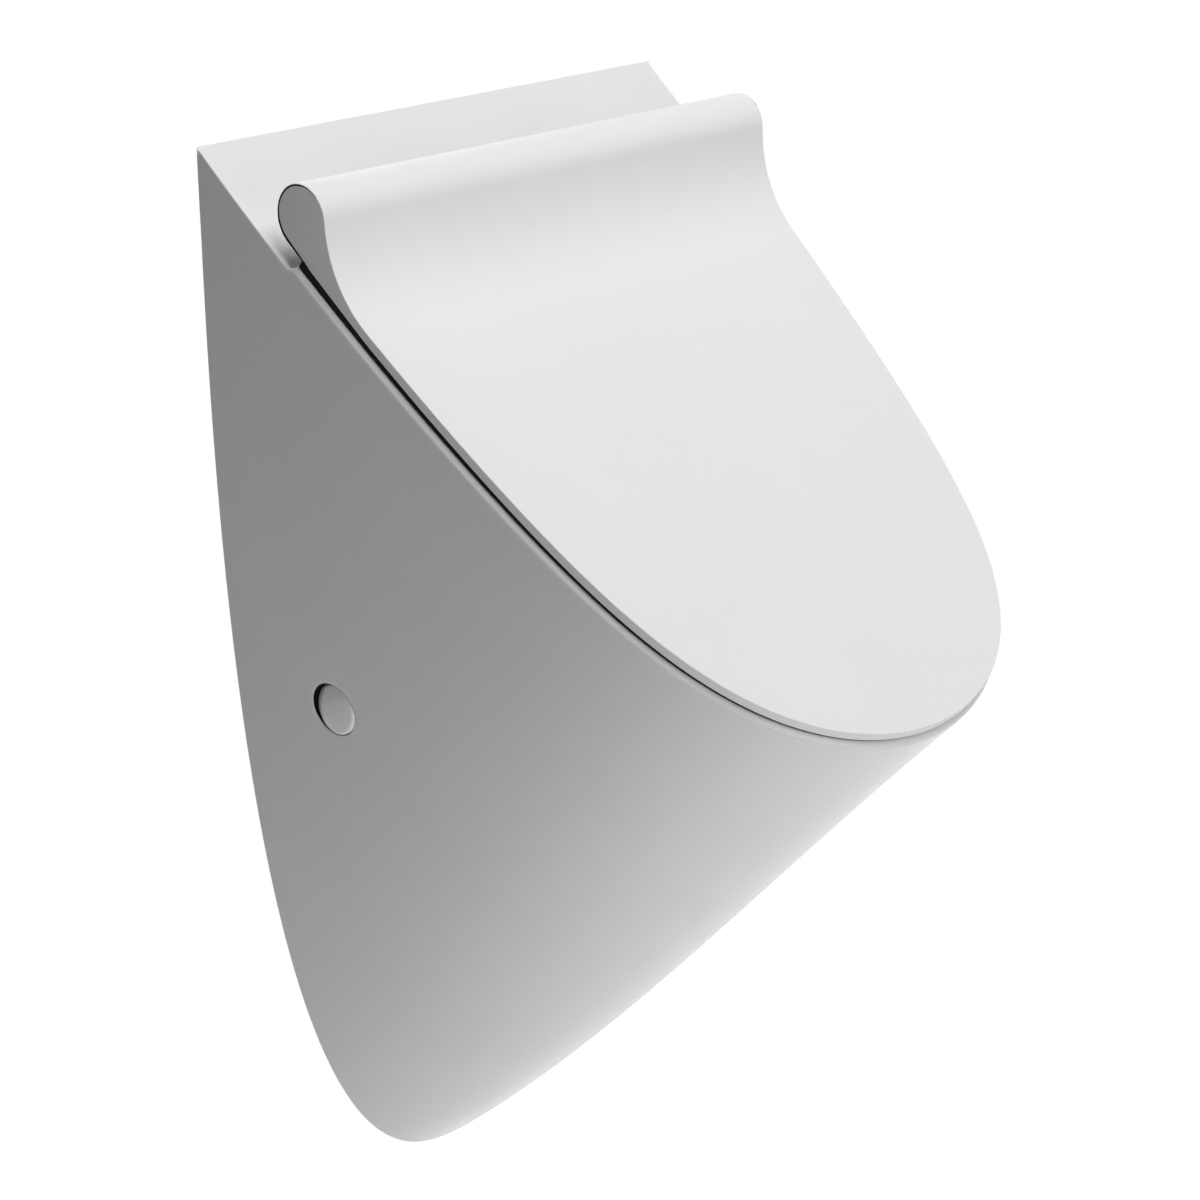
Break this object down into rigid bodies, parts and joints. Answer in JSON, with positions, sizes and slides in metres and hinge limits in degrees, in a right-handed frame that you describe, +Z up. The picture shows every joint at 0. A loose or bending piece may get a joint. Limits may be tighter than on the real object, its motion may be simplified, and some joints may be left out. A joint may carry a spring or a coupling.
{
  "type": "wall hung urinal",
  "caption": "Wall hung ceramic urinal with a sloping soft-close lid, concealed side fixings, rear water inlet and rear waste outlet with a trap.",
  "frame": {"origin": "on the wall plane, midway between the two wall screws, at the height of the side fixings", "axes": "+Z up, -Y out from the wall towards the user, +X to the right as seen by somebody facing the wall; the wall is the plane y = 0"},
  "size_m": [0.3, 0.3314, 0.572],
  "materials": {
    "glaze": "glossy white glaze",
    "lid_plastic": "glossy white",
    "cap_enamel": "glossy white",
    "grey_plastic": "satin grey",
    "black_rubber": "matte black",
    "clear_rubber": "matte pale",
    "zinc_steel": "zinc plated",
    "satin_steel": "satin",
    "chrome": "polished",
    "brass": "plain"
  },
  "bodies": {
    "fixed": {"ceramic_body": "glaze", "wall_bracket_left": "zinc_steel", "wall_bracket_right": "zinc_steel", "clamp_nut_left": "zinc_steel", "clamp_nut_right": "zinc_steel", "clamp_screw_left": "zinc_steel", "clamp_screw_right": "zinc_steel", "clamp_bush_left": "grey_plastic", "clamp_bush_right": "grey_plastic", "inlet_sleeve": "black_rubber", "spray_head": "chrome", "spray_gasket": "black_rubber", "spray_nut": "brass", "strainer_seat": "grey_plastic", "seat_gasket": "black_rubber", "tail_gasket": "black_rubber", "tail_locknut": "grey_plastic", "trap_cup": "grey_plastic", "dip_tube": "grey_plastic", "waste_socket": "grey_plastic", "waste_seal": "black_rubber", "hinge_post_left": "satin_steel", "hinge_post_right": "satin_steel", "hinge_shaft_left": "satin_steel", "hinge_shaft_right": "satin_steel", "hinge_pad_left": "black_rubber", "hinge_pad_right": "black_rubber", "hinge_stud_left": "zinc_steel", "hinge_stud_right": "zinc_steel", "stud_washer_left": "black_rubber", "stud_washer_right": "black_rubber", "stud_nut_left": "zinc_steel", "stud_nut_right": "zinc_steel", "hinge_bush_left": "grey_plastic", "hinge_bush_right": "grey_plastic"},
    "lid": {"lid": "lid_plastic", "damper_left": "grey_plastic", "damper_right": "grey_plastic", "lid_buffers": "clear_rubber"},
    "strainer": {"strainer": "chrome"},
    "cap_left": {"side_cap_left": "cap_enamel"},
    "cap_right": {"side_cap_right": "cap_enamel"}
  },
  "joints": [
    {"name": "lid_hinge", "type": "hinge", "parent": "fixed", "child": "lid", "pos_m": [0, -0.06999, 0.24476], "axis": [-1, 0, 0], "range_deg": [0, 135]},
    {"name": "strainer_lift", "type": "slide", "parent": "fixed", "child": "strainer", "axis": [0, 0, 1], "range_m": [0, 0.012]},
    {"name": "cap_left_pull", "type": "slide", "parent": "fixed", "child": "cap_left", "axis": [-1, 0, 0], "range_m": [0, 0.012]},
    {"name": "cap_right_pull", "type": "slide", "parent": "fixed", "child": "cap_right", "axis": [1, 0, 0], "range_m": [0, 0.012]}
  ]
}
